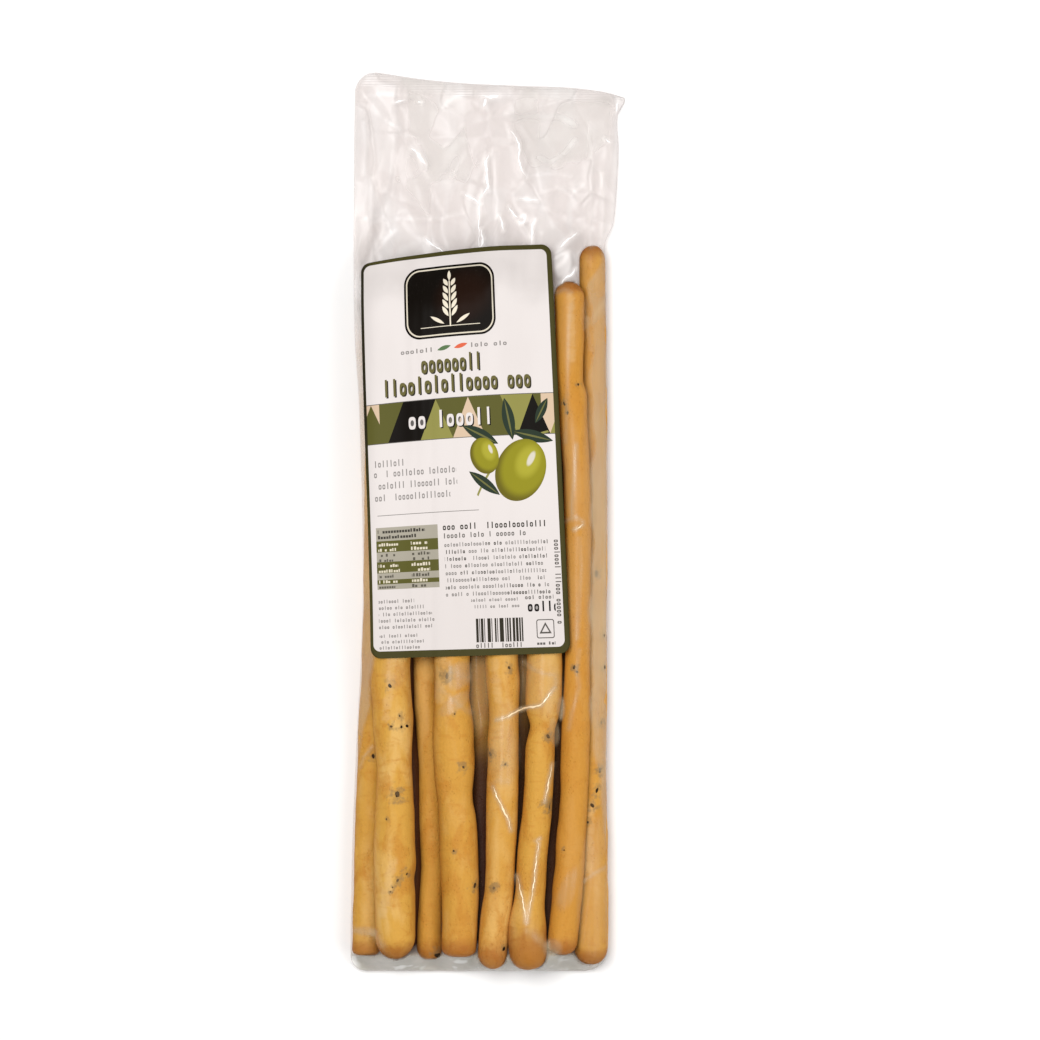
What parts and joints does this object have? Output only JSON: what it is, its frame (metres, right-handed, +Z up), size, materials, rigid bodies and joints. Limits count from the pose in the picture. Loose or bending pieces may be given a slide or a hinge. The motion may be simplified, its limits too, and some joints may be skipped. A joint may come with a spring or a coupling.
{
  "type": "bag of breadsticks",
  "caption": "Long clear film bag of rough hand-stretched olive breadsticks, sealed at both ends, with a loose empty top and a printed paper label over the upper half.",
  "frame": {"origin": "middle of the underside, where the bag lies on a flat surface", "axes": "+Y towards the bag's empty upper end, +X to the right seen from the label side, +Z up out of the label"},
  "size_m": [0.1182, 0.3878, 0.0263],
  "materials": {
    "filled_bag": "clear glossy film over golden crust",
    "film": "clear, glossy and creased",
    "crust": "matte baked crust, browner at the ends",
    "olive": "dark matte flecks",
    "label": "coated paper with an olive-brown border"
  },
  "bodies": {
    "root": {"bag": "filled_bag", "label": "label"}
  },
  "joints": []
}
